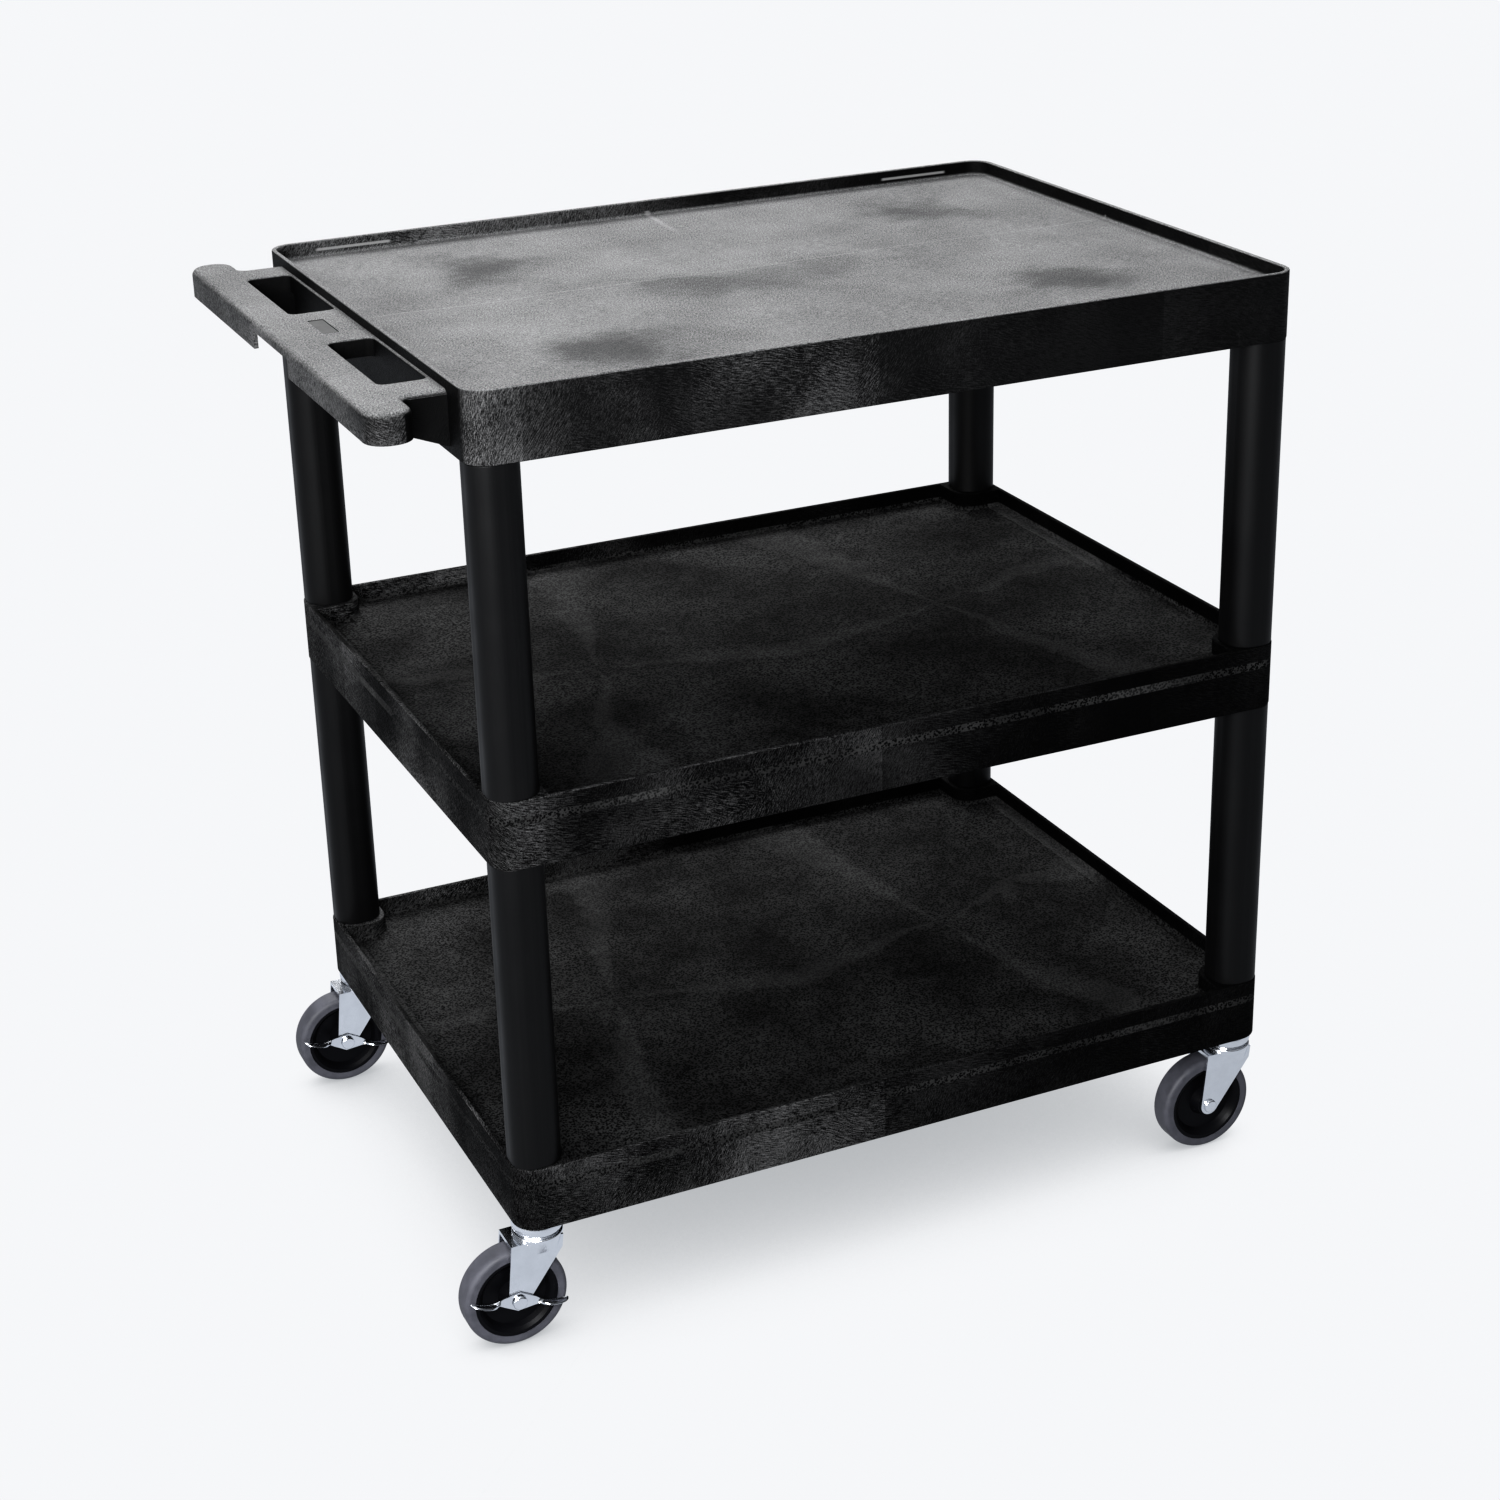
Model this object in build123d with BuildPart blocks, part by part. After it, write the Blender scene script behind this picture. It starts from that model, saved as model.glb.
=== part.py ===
from build123d import *
from math import cos, radians, sin
import os

# Rolling utility cart: three moulded tray shelves on eight tubular legs, with four swivel
# casters. Millimetres. Z = 0 is the floor, and X = 0, Y = 0 is the middle of the whole cart.
# The handle is at -X and the long front side faces -Y.

os.makedirs("parts", exist_ok=True)

# ---- driving dimensions -------------------------------------------------------------------
shelf_length = 813.0            # along X, 32 in
shelf_width = 600.0             # along Y
shelf_height = 65.0             # from the lower edge of the skirt to the rim
shelf_corner = 24.0             # outer corner radius
wall = 5.0                      # rim and skirt thickness
deck = 4.5                      # deck thickness
top_tray_depth = 15.0
low_tray_depth = 19.0
bay_height = 304.0              # open height between two shelves, 12 in
handle_reach = 81.5             # handle beyond the shelf
leg_side = 48.0
leg_corner = 20.0
leg_inset = 1.5                 # leg face inside the shelf face
wheel_diameter = 101.6          # 4 in
caster_height = 127.0           # floor to the shelf's lower edge
caster_inset_x = 25.0           # swivel axis from the end faces
caster_inset_y = 28.0           # swivel axis from the long faces
swivel_trail = 28.0             # wheel axle behind the swivel axis

# ---- places -------------------------------------------------------------------------------
shelf_x = handle_reach / 2
shelf_left = shelf_x - shelf_length / 2
level_step = shelf_height + bay_height
level_base = {
    "bottom": caster_height,
    "middle": caster_height + level_step,
    "top": caster_height + 2 * level_step,
}
corners = {
    "front_left": (-1, -1),
    "front_right": (1, -1),
    "back_left": (-1, 1),
    "back_right": (1, 1),
}
braked = ("front_left", "back_left")
leg_x = shelf_length / 2 - leg_inset - leg_side / 2
leg_y = shelf_width / 2 - leg_inset - leg_side / 2
leg_points = [(shelf_x + sx * leg_x, sy * leg_y) for sx, sy in corners.values()]
caster_x = shelf_length / 2 - caster_inset_x
caster_y = shelf_width / 2 - caster_inset_y
caster_points = [(shelf_x + sx * caster_x, sy * caster_y) for sx, sy in corners.values()]


def finish(part, label):
    # Names a finished piece and writes its file.
    part.label = label
    export_step(part, f"parts/{label}.step")


def edges_at(builder, height):
    # The edges that lie flat at one height.
    return builder.edges().filter_by_position(Axis.Z, height - 0.01, height + 0.01)


# ---- shelves ------------------------------------------------------------------------------
pad_side = 54.0                 # corner pad that carries a leg, from the shelf faces inwards
pad_corner = 22.0
spigot_side = 38.0              # leg spigot
spigot_corner = 14.0
spigot_length = 18.0
pocket_play = 0.3               # pocket wider than the spigot, each side
pocket_depth = spigot_length + 1.0
rib = 3.0                       # underside ribs
cells_x = 9
cells_y = 7
cell_length = (shelf_length - 2 * wall - (cells_x - 1) * rib) / cells_x
cell_width = (shelf_width - 2 * wall - (cells_y - 1) * rib) / cells_y
socket_radius = 10.0            # caster socket
socket_length = 42.0
press_gap = 0.02                # radial gap of a piece pressed into a hole
rim_round = 1.6
deck_round = 4.0
skirt_round = 1.2


def corner_pads():
    # Takes the four leg pads out of the tray, each with one round corner towards the middle.
    half = pad_side / 2
    for sx, sy in corners.values():
        x = shelf_x + sx * (shelf_length / 2 - half)
        y = sy * (shelf_width / 2 - half)
        with Locations((x, y)):
            RectangleRounded(pad_side, pad_side, pad_corner, mode=Mode.SUBTRACT)
        with Locations((x + sx * half / 2, y)):
            Rectangle(half, pad_side, mode=Mode.SUBTRACT)
        with Locations((x, y + sy * half / 2)):
            Rectangle(pad_side, half, mode=Mode.SUBTRACT)


def shelf_shell(base, tray_depth, pads):
    # Skirt and deck of one shelf: a tray above, ribs and corner blocks below.
    rim = base + shelf_height
    with BuildPart() as shell:
        with BuildSketch(Plane.XY.offset(base)):
            with Locations((shelf_x, 0)):
                RectangleRounded(shelf_length, shelf_width, shelf_corner)
        extrude(amount=shelf_height)
        with BuildSketch(Plane.XY.offset(rim)):
            with Locations((shelf_x, 0)):
                RectangleRounded(
                    shelf_length - 2 * wall, shelf_width - 2 * wall, shelf_corner - wall
                )
            if pads:
                corner_pads()
        extrude(amount=-tray_depth, mode=Mode.SUBTRACT)
        fillet(edges_at(shell, rim - tray_depth), radius=deck_round)
        fillet(edges_at(shell, rim), radius=rim_round)
        fillet(edges_at(shell, base), radius=skirt_round)
        with BuildSketch(Plane.XY.offset(base)):
            with Locations((shelf_x, 0)):
                with GridLocations(cell_length + rib, cell_width + rib, cells_x, cells_y):
                    RectangleRounded(cell_length, cell_width, rib)
                with GridLocations(shelf_length - pad_side, shelf_width - pad_side, 2, 2):
                    Rectangle(pad_side, pad_side, mode=Mode.SUBTRACT)
        extrude(amount=shelf_height - tray_depth - deck, mode=Mode.SUBTRACT)
    return shell.part


def with_pockets(shelf_part, height):
    # Cuts the four leg pockets, upwards from one height.
    side = spigot_side + 2 * pocket_play
    with BuildPart() as cut:
        add(shelf_part)
        with BuildSketch(Plane.XY.offset(height)):
            with Locations(*leg_points):
                RectangleRounded(side, side, spigot_corner + pocket_play)
        extrude(amount=pocket_depth, mode=Mode.SUBTRACT)
    return cut.part


# ---- handle, moulded in one with the top shelf ---------------------------------------------
handle_drop = 9.0               # handle top below the rim
handle_plate = 10.0             # thickness of the moulded top
skirt_depth = 27.0              # outer skirt of the grip, from its top
skirt_wall = 4.0
grip_width = 42.0
grip_length = shelf_width - 10.0
grip_corner = 20.0
neck_round = 8.0                # between the grip's round end and an arm
arm_inner = 209.0               # arms, from the middle of the handle
arm_outer = 251.0
bridge_half = 57.0
slot_width = 42.4
slot_offset = 2.6               # finger slot from the shelf face
slot_corner = 7.0
slot_lip = 3.5
slot_lip_depth = 17.0
slot_round = 2.2
neck_depth = 33.0               # arm webs beside the grip
neck_root_depth = 50.0          # arm webs at the shelf
neck_web = 3.5
notch_half = 56.0               # gap in the outer skirt beside the bridge
grip_round = 6.5
root_overlap = 2.0              # web inside the shelf wall
plate_length = 52.0             # blank plate let into the bridge
plate_width = 15.0
plate_depth = 1.2
plate_play = 0.5
plate_offset = 31.0             # plate centre from the shelf face

handle_top = level_base["top"] + shelf_height - handle_drop
grip_x = shelf_left - handle_reach + grip_width / 2
grip_edge = grip_x + grip_width / 2
web_length = shelf_left + root_overlap - grip_x
slot_x = shelf_left - slot_offset - slot_width / 2
slot_y = (arm_inner + bridge_half) / 2


def slot_outline(grow):
    # The two finger slots, grown all round.
    length = arm_inner - bridge_half
    with Locations((slot_x, -slot_y), (slot_x, slot_y)):
        RectangleRounded(slot_width + 2 * grow, length + 2 * grow, slot_corner + grow)


with BuildPart() as handle:
    # grip bar and web
    with BuildSketch(Plane.XY.offset(handle_top)) as outline:
        with Locations((grip_x, 0)):
            RectangleRounded(grip_width, grip_length, grip_corner)
        with Locations((grip_x + web_length / 2, 0)):
            Rectangle(web_length, 2 * arm_outer)
        necks = outline.vertices().filter_by(
            lambda v: abs(v.X - grip_edge) < 1.0 and abs(abs(v.Y) - arm_outer) < 1.0
        )
        fillet(necks, radius=neck_round)
    extrude(amount=-handle_plate)
    # skirt round the outer side and both ends of the grip
    with BuildSketch(Plane.XY.offset(handle_top)):
        with Locations((grip_x, 0)):
            RectangleRounded(grip_width, grip_length, grip_corner)
            RectangleRounded(
                grip_width - 2 * skirt_wall,
                grip_length - 2 * skirt_wall,
                grip_corner - skirt_wall,
                mode=Mode.SUBTRACT,
            )
        with Locations((grip_edge, 0)):
            Rectangle(2 * skirt_wall + 1.0, 2 * arm_outer, mode=Mode.SUBTRACT)
    extrude(amount=-skirt_depth)
    with BuildSketch(Plane.XY.offset(handle_top)):
        slot_outline(slot_lip)
    extrude(amount=-slot_lip_depth)
    fillet(
        edges_at(handle, handle_top).filter_by(lambda e: e.center().X < shelf_left),
        radius=grip_round,
    )
    with BuildSketch(Plane.XY.offset(handle_top)):
        slot_outline(0)
    extrude(amount=-skirt_depth, mode=Mode.SUBTRACT)
    slot_edges = edges_at(handle, handle_top).filter_by(
        lambda e: abs(e.center().X - slot_x) < slot_width / 2 + 1.0
        and bridge_half - 1.0 < abs(e.center().Y) < arm_inner + 1.0
    )
    fillet(slot_edges, radius=slot_round)
    # deep webs under both sides of each arm
    for y in (arm_inner, arm_outer - neck_web):
        for start in (y, -y - neck_web):
            with BuildSketch(Plane(origin=(0, start + neck_web, 0), x_dir=(1, 0, 0), z_dir=(0, -1, 0))):
                with BuildLine():
                    Polyline(
                        (grip_edge - 2.0, handle_top - 4.0),
                        (grip_edge - 2.0, handle_top - neck_depth),
                        (shelf_left + root_overlap, handle_top - neck_root_depth),
                        (shelf_left + root_overlap, handle_top - 4.0),
                        close=True,
                    )
                make_face()
            extrude(amount=neck_web)
    # notch in the skirt
    with BuildSketch(Plane.XY.offset(handle_top - handle_plate)):
        with Locations((grip_x - grip_width / 2, 0)):
            Rectangle(2 * skirt_wall + 1.0, 2 * notch_half)
    extrude(amount=-skirt_depth, mode=Mode.SUBTRACT)
    # recess of the blank plate
    with BuildSketch(Plane.XY.offset(handle_top)):
        with Locations((shelf_left - plate_offset, 0)):
            RectangleRounded(plate_width, plate_length, 2.0)
    extrude(amount=-plate_depth, mode=Mode.SUBTRACT)

with BuildPart() as top_shelf:
    add(with_pockets(shelf_shell(level_base["top"], top_tray_depth, False), level_base["top"]))
    add(handle.part)
finish(top_shelf.part, "top_shelf")

with BuildPart() as blank_plate:
    with BuildSketch(Plane.XY.offset(handle_top - plate_depth)):
        with Locations((shelf_left - plate_offset, 0)):
            RectangleRounded(plate_width - 2 * plate_play, plate_length - 2 * plate_play, 1.8)
    extrude(amount=plate_depth - plate_play)
finish(blank_plate.part, "handle_plate")

# ---- middle and bottom shelf ----------------------------------------------------------------
middle_base = level_base["middle"]
middle_top = middle_base + shelf_height
bottom_base = level_base["bottom"]
bottom_top = bottom_base + shelf_height

middle_shell = with_pockets(shelf_shell(middle_base, low_tray_depth, True), middle_base)
with BuildPart() as middle_shelf:
    add(with_pockets(middle_shell, middle_top - pocket_depth))
finish(middle_shelf.part, "middle_shelf")

bottom_shell = shelf_shell(bottom_base, low_tray_depth, True)
with BuildPart() as bottom_shelf:
    add(with_pockets(bottom_shell, bottom_top - pocket_depth))
    with BuildSketch(Plane.XY.offset(bottom_base)):
        with Locations(*caster_points):
            Circle(socket_radius)
    extrude(amount=socket_length, mode=Mode.SUBTRACT)
finish(bottom_shelf.part, "bottom_shelf")

# ---- legs: hollow tubes with a spigot at both ends -------------------------------------------
leg_wall = 3.0
leg_shoulder = 6.0              # solid step at each end of the tube
leg_edge = 0.8


def leg_section(place, side, corner):
    # One rounded square of a leg.
    with Locations(place):
        RectangleRounded(side, side, corner)


for foot, storey in ((bottom_top, "lower"), (middle_top, "upper")):
    for corner, place in zip(corners, leg_points):
        spigot_foot = foot - spigot_length
        full_length = bay_height + 2 * spigot_length
        with BuildPart() as leg:
            with BuildSketch(Plane.XY.offset(foot)):
                leg_section(place, leg_side, leg_corner)
            extrude(amount=bay_height)
            fillet(edges_at(leg, foot) + edges_at(leg, foot + bay_height), radius=leg_edge)
            with BuildSketch(Plane.XY.offset(spigot_foot)):
                leg_section(place, spigot_side, spigot_corner)
            extrude(amount=full_length)
            with BuildSketch(Plane.XY.offset(foot + leg_shoulder)):
                leg_section(place, leg_side - 2 * leg_wall, leg_corner - leg_wall)
            extrude(amount=bay_height - 2 * leg_shoulder, mode=Mode.SUBTRACT)
            with BuildSketch(Plane.XY.offset(spigot_foot)):
                leg_section(place, spigot_side - 2 * leg_wall, spigot_corner - leg_wall)
            extrude(amount=full_length, mode=Mode.SUBTRACT)
        finish(leg.part, f"{storey}_leg_{corner}")

# ---- casters -----------------------------------------------------------------------------------
wheel_radius = wheel_diameter / 2
tread_width = 25.0
tread_inner = 41.0
tread_shoulder = 5.0
hub_boss_radius = 12.0
hub_boss_half = 13.9
hub_web_half = 4.0
hub_rim_half = 11.5
hub_rim_inner = 37.5
bush_radius = 6.0
axle_radius = 4.0
fit_gap = 0.05                  # running clearance on the radius
fork_inner = 29.0               # between the fork's arms
fork_steel = 2.5
fork_outer = fork_inner + 2 * fork_steel
crown_top = 110.0
crown_steel = 3.2
crown_low = 95.0                # where the crown has narrowed to the arms
flare_radius = 24.2             # raised seat of the lower race
flare_top = 113.4
race_radius = 21.2
race_top = 117.5
race_wall = 3.0
arm_end = 10.0                  # round end of an arm
arm_front = 19.5                # fork arm ahead of the swivel axis
arm_back = 32.0                 # fork arm behind the swivel axis
arm_front_low = 97.0
pin_radius = 6.0
pin_head_radius = 9.5
pin_head = 3.2
pin_play = 0.3
cap_radius = 24.5
cap_bottom = 115.4
cap_rim = 2.5
cap_roof = 5.2
ball_radius = 2.5
ball_ring = 17.0
ball_count = 14
ball_z = 119.0
groove_radius = 2.6
head_radius = 7.0               # axle head
head_height = 3.2
nut_size = 13.0                 # across flats
nut_height = 6.0
axle_tail = 1.5                 # thread beyond the nut
pedal_steel = 2.2
pedal_gap = 0.4
pedal_half = 48.0
pedal_boss = (29.0, 9.5)        # half width and half height of the plate round the axle
pedal_tilt = 12.0               # released pedal, front end down, in degrees
pedal_tab = 10.0                # depth of a foot tab

for corner, pivot in zip(corners, caster_points):
    pivot_x, pivot_y = pivot
    axle_x = pivot_x - swivel_trail
    middle = (axle_x, pivot_y, wheel_radius)
    side = Plane(origin=middle, x_dir=(1, 0, 0), z_dir=(0, -1, 0))
    across = Plane(origin=middle, x_dir=(0, 1, 0), z_dir=(1, 0, 0))
    wheel_axis = Axis(middle, (0, 1, 0))
    swivel_axis = Axis((pivot_x, pivot_y, 0), (0, 0, 1))

    # socket pressed into the shelf
    with BuildPart() as socket:
        with BuildSketch(Plane.XY.offset(caster_height)):
            with Locations(pivot):
                Circle(socket_radius - press_gap)
                Circle(pin_radius + press_gap, mode=Mode.SUBTRACT)
        extrude(amount=socket_length)
    finish(socket.part, f"caster_socket_{corner}")

    # stem with its riveted head, fixed to the shelf
    head_low = race_top - race_wall - pin_play - pin_head
    with BuildPart() as stem:
        with BuildSketch(Plane.XY.offset(head_low)):
            with Locations(pivot):
                Circle(pin_head_radius)
        extrude(amount=pin_head)
        with BuildSketch(Plane.XY.offset(head_low)):
            with Locations(pivot):
                Circle(pin_radius)
        extrude(amount=caster_height + socket_length - pin_head - head_low)
        chamfer(stem.edges().sort_by(Axis.Z)[-1], length=1.5)
    finish(stem.part, f"caster_stem_{corner}")

    # upper race, a pressed cap fixed to the stem
    with BuildPart() as cap:
        with BuildSketch(Plane.XY.offset(cap_bottom)):
            with Locations(pivot):
                Circle(cap_radius)
        extrude(amount=caster_height - cap_bottom)
        fillet(cap.edges().sort_by(Axis.Z)[-1], radius=3.0)
        with BuildSketch(Plane.XY.offset(cap_bottom)):
            with Locations(pivot):
                Circle(cap_radius - cap_rim)
        extrude(amount=caster_height - cap_bottom - cap_roof, mode=Mode.SUBTRACT)
        with BuildSketch(Plane.XY.offset(cap_bottom)):
            with Locations(pivot):
                Circle(pin_radius + press_gap)
        extrude(amount=caster_height - cap_bottom, mode=Mode.SUBTRACT)
    finish(cap.part, f"caster_cap_{corner}")

    # balls of the swivel bearing
    with BuildPart() as balls:
        with Locations((pivot_x, pivot_y, ball_z)):
            with PolarLocations(ball_ring, ball_count):
                Sphere(ball_radius)
    finish(balls.part, f"caster_balls_{corner}")

    # fork: raised lower race, round crown and two tapered arms
    with BuildPart() as fork:
        with BuildSketch(Plane.XY.offset(crown_low)):
            with Locations(pivot):
                RectangleRounded(2 * arm_front, fork_outer, fork_outer / 3)
        with BuildSketch(Plane.XY.offset(crown_top)):
            with Locations(pivot):
                Circle(flare_radius)
        loft()
        with BuildSketch(Plane.XY.offset(crown_top)):
            with Locations((pivot_x - arm_back / 2, pivot_y)):
                Rectangle(arm_back, fork_outer)
        extrude(amount=-crown_steel)
        with BuildSketch(Plane.XY.offset(crown_top)):
            with Locations(pivot):
                Circle(flare_radius)
        extrude(amount=flare_top - crown_top)
        fillet(edges_at(fork, flare_top), radius=1.5)
        with BuildSketch(Plane.XY.offset(crown_top)):
            with Locations(pivot):
                Circle(race_radius)
        extrude(amount=race_top - crown_top)
        with BuildSketch(side.offset(-fork_outer / 2)):
            with BuildLine():
                Polyline(
                    (swivel_trail - arm_back, crown_top - wheel_radius),
                    (-arm_end, 0),
                    (0, -arm_end),
                    (0.75 * arm_end, -0.66 * arm_end),
                    (swivel_trail + arm_front - 1.5, arm_front_low - wheel_radius),
                    (swivel_trail + arm_front, crown_top - wheel_radius),
                    close=True,
                )
            make_face()
            Circle(arm_end)
        extrude(amount=fork_outer)
        with BuildSketch(Plane.XY.offset(wheel_radius - 2 * arm_end)):
            with Locations(((axle_x + pivot_x) / 2, pivot_y)):
                Rectangle(100.0, fork_inner)
        extrude(
            amount=crown_top - crown_steel - wheel_radius + 2 * arm_end, mode=Mode.SUBTRACT
        )
        with BuildSketch(Plane.XY.offset(crown_top - crown_steel)):
            with Locations(pivot):
                Circle(fork_inner / 2)
        extrude(amount=race_top - race_wall - crown_top + crown_steel, mode=Mode.SUBTRACT)
        with BuildSketch(Plane.XY.offset(crown_top)):
            with Locations(pivot):
                Circle(pin_radius + fit_gap)
        extrude(amount=race_top - crown_top, mode=Mode.SUBTRACT)
        with BuildSketch(side.offset(-fork_outer)):
            Circle(axle_radius + press_gap)
        extrude(amount=2 * fork_outer, mode=Mode.SUBTRACT)
        with BuildSketch(Plane(origin=(pivot_x, pivot_y, 0), x_dir=(1, 0, 0), z_dir=(0, -1, 0))):
            with Locations((ball_ring, ball_z)):
                Circle(groove_radius)
        revolve(axis=swivel_axis, mode=Mode.SUBTRACT)
    finish(fork.part, f"caster_fork_{corner}")

    # bush clamped between the arms
    with BuildPart() as bush:
        with BuildSketch(side.offset(-fork_inner / 2)):
            Circle(bush_radius)
            Circle(axle_radius + press_gap, mode=Mode.SUBTRACT)
        extrude(amount=fork_inner)
    finish(bush.part, f"caster_bush_{corner}")

    # axle bolt, whose head stands outside the brake pedal where there is one
    head_base = fork_outer / 2
    if corner in braked:
        head_base += pedal_steel + 2 * pedal_gap
    with BuildPart() as axle:
        with BuildSketch(side.offset(-fork_outer / 2 - nut_height - axle_tail)):
            Circle(axle_radius)
        extrude(amount=fork_outer / 2 + nut_height + axle_tail + head_base)
        with BuildSketch(side.offset(head_base)):
            Circle(head_radius)
        extrude(amount=head_height)
        fillet(axle.faces().sort_by(Axis.Y)[0].edges(), radius=0.6 * head_height)
    finish(axle.part, f"caster_axle_{corner}")

    with BuildPart() as nut:
        with BuildSketch(side.offset(-fork_outer / 2 - nut_height)):
            RegularPolygon(nut_size / 2, 6, major_radius=False)
            Circle(axle_radius + press_gap, mode=Mode.SUBTRACT)
        extrude(amount=nut_height)
        chamfer(nut.faces().sort_by(Axis.Y)[-1].outer_wire().edges(), length=0.6)
    finish(nut.part, f"caster_nut_{corner}")

    # wheel hub: boss, thin web and stepped rim
    hub_half_profile = [
        (hub_boss_half, bush_radius + fit_gap),
        (hub_boss_half, hub_boss_radius),
        (hub_web_half, hub_boss_radius + 4.0),
        (hub_web_half, hub_rim_inner - 6.0),
        (hub_rim_half - 3.0, hub_rim_inner - 3.0),
        (hub_rim_half, hub_rim_inner),
        (hub_rim_half, tread_inner),
    ]
    with BuildPart() as hub:
        with BuildSketch(across):
            with BuildLine():
                far_half = [(-a, r) for a, r in reversed(hub_half_profile)]
                Polyline(*hub_half_profile, *far_half, close=True)
            make_face()
        revolve(axis=wheel_axis)
    finish(hub.part, f"wheel_hub_{corner}")

    # tread bonded round the hub
    with BuildPart() as tread:
        with BuildSketch(across) as section:
            with Locations((0, (wheel_radius + tread_inner) / 2)):
                Rectangle(tread_width, wheel_radius - tread_inner)
            fillet(section.vertices().group_by(Axis.Y)[-1], radius=tread_shoulder)
        revolve(axis=wheel_axis)
    finish(tread.part, f"wheel_tread_{corner}")

    # brake pedal: a plate round the axle with a foot tab at each end
    if corner in braked:
        half_width, half_height = pedal_boss
        tilt = radians(pedal_tilt)
        tilted = Plane(origin=middle, x_dir=(cos(tilt), 0, -sin(tilt)), z_dir=(0, -1, 0))
        inner_face = tilted.offset(fork_outer / 2 + pedal_gap)
        with BuildPart() as pedal:
            with BuildSketch(inner_face):
                with BuildLine():
                    Polyline(
                        (half_width, 0),
                        (0, half_height),
                        (-half_width, 0),
                        (0, -half_height),
                        close=True,
                    )
                make_face()
            extrude(amount=pedal_steel)
            for end in (-1, 1):
                with BuildSketch(inner_face):
                    with BuildLine():
                        Polyline(
                            (end * 0.5 * half_width, 2.0),
                            (end * 0.7 * pedal_half, -1.6),
                            (end * 0.9 * pedal_half, -0.6),
                            (end * 0.97 * pedal_half, 3.0),
                            (end * pedal_half, 2.0),
                            (end * 0.93 * pedal_half, -2.8),
                            (end * 0.7 * pedal_half, -4.0),
                            (end * 0.5 * half_width, -2.0),
                            close=True,
                        )
                    make_face()
                extrude(amount=pedal_tab)
            with BuildSketch(inner_face):
                Circle(axle_radius + fit_gap)
            extrude(amount=pedal_tab, mode=Mode.SUBTRACT)
        finish(pedal.part, f"brake_pedal_{corner}")
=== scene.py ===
import math
import bmesh
import bpy
import numpy as np
from mathutils import Matrix, Vector


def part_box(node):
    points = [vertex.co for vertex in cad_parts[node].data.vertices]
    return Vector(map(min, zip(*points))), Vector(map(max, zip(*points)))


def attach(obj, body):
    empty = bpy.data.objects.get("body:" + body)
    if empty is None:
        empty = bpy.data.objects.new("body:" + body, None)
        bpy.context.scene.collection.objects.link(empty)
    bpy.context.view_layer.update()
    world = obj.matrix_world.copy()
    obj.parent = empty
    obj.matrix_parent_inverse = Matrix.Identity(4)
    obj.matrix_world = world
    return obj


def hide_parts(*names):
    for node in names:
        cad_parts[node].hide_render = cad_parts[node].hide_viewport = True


# Rolling utility cart: three foam-moulded tray shelves on tubular legs, with a moulded push
# handle and four zinc-plated swivel casters. Metres, floor at Z = 0, handle at -X.

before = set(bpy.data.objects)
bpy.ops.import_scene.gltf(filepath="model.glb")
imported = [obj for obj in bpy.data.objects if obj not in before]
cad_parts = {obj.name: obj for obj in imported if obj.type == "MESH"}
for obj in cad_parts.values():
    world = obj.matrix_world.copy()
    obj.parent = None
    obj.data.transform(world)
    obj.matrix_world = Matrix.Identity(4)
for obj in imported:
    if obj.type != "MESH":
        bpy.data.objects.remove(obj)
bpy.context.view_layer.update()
cornerNames = ("front_left", "front_right", "back_left", "back_right")
brakedCorners = ("front_left", "back_left")
print("frame loaded:", len(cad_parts), "CAD nodes")


def put(tree, kind, settings=None, **sockets):
    # Adds a node. Each named input is set to a value, or linked if the value is a socket. Inputs
    # whose names repeat are given by number: n0, n1 and so on.
    new = tree.nodes.new(kind)
    for name, value in (settings or {}).items():
        setattr(new, name, value)
    for name, value in sockets.items():
        numbered = name[0] == "n" and name[1:].isdigit()
        target = new.inputs[int(name[1:]) if numbered else name.replace("_", " ")]
        if isinstance(value, bpy.types.NodeSocket):
            tree.links.new(value, target)
        else:
            target.default_value = value
    return new


def calc(tree, operation, a, b=0.0):
    # One Math node: operation on a and b.
    return put(tree, "ShaderNodeMath", {"operation": operation}, n0=a, n1=b).outputs[0]


def plus(tree, a, b):
    return calc(tree, "ADD", a, b)


def minus(tree, a, b):
    return calc(tree, "SUBTRACT", a, b)


def times(tree, a, b):
    return calc(tree, "MULTIPLY", a, b)


def calcVector(tree, operation, a, b):
    # One Vector Math node: operation on a and b.
    return put(tree, "ShaderNodeVectorMath", {"operation": operation}, n0=a, n1=b).outputs[0]


def fade(tree, value, start, end, low=0.0, high=1.0):
    # Value eased from low at start to high at end.
    return put(tree, "ShaderNodeMapRange", {"interpolation_type": "SMOOTHSTEP"}, Value=value,
               From_Min=start, From_Max=end, To_Min=low, To_Max=high).outputs[0]


def blendColour(tree, amount, first, second):
    # First colour at amount 0, second at 1.
    mix = put(tree, "ShaderNodeMix", {"data_type": "RGBA"}, n0=amount)
    for socket, value in ((mix.inputs[6], first), (mix.inputs[7], second)):
        if isinstance(value, bpy.types.NodeSocket):
            tree.links.new(value, socket)
        else:
            socket.default_value = (*value, 1.0)
    return mix.outputs[2]


def noise(tree, vector, scale, detail=2.0, roughness=0.5, seed=0.0):
    # Noise in four dimensions, where the fourth is the seed. Output 0 runs from 0 to 1.
    return put(tree, "ShaderNodeTexNoise", {"noise_dimensions": "4D"}, Vector=vector, W=seed,
               Scale=scale, Detail=detail, Roughness=roughness)


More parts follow.
